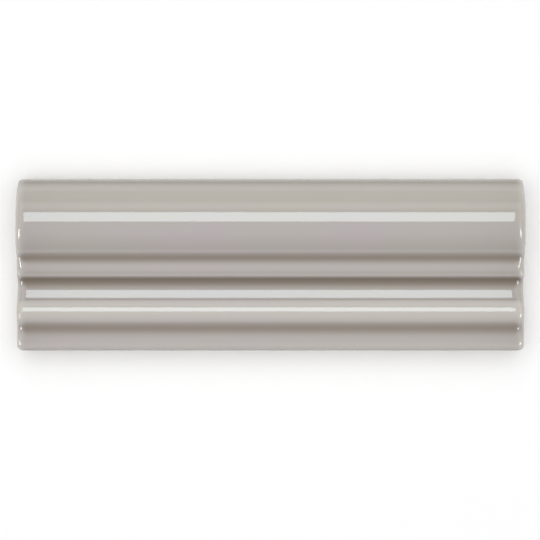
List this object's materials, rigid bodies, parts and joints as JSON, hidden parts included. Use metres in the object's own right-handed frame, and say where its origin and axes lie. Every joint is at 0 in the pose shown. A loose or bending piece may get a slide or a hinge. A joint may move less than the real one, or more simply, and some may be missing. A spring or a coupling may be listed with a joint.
{
  "type": "glazed ceramic dado rail tile",
  "caption": "Straight ceramic trim tile with a quarter-round nose, ogee, cove and torus along its length, glazed on the face, to cap or divide a tiled wall.",
  "frame": {"origin": "centre of the flat back, on the plane that meets the wall", "axes": "+X along the rail, +Y towards the nose (the upper edge on a wall), +Z out of the wall, so the rail is stored lying on its back"},
  "size_m": [0.15, 0.0512, 0.017],
  "materials": {
    "glazed_ceramic": "glossy translucent pale warm grey glaze over a pale body, browner where it pools in the hollows, with a bare matt back"
  },
  "bodies": {
    "root": {"dado_rail": "glazed_ceramic"}
  },
  "joints": []
}
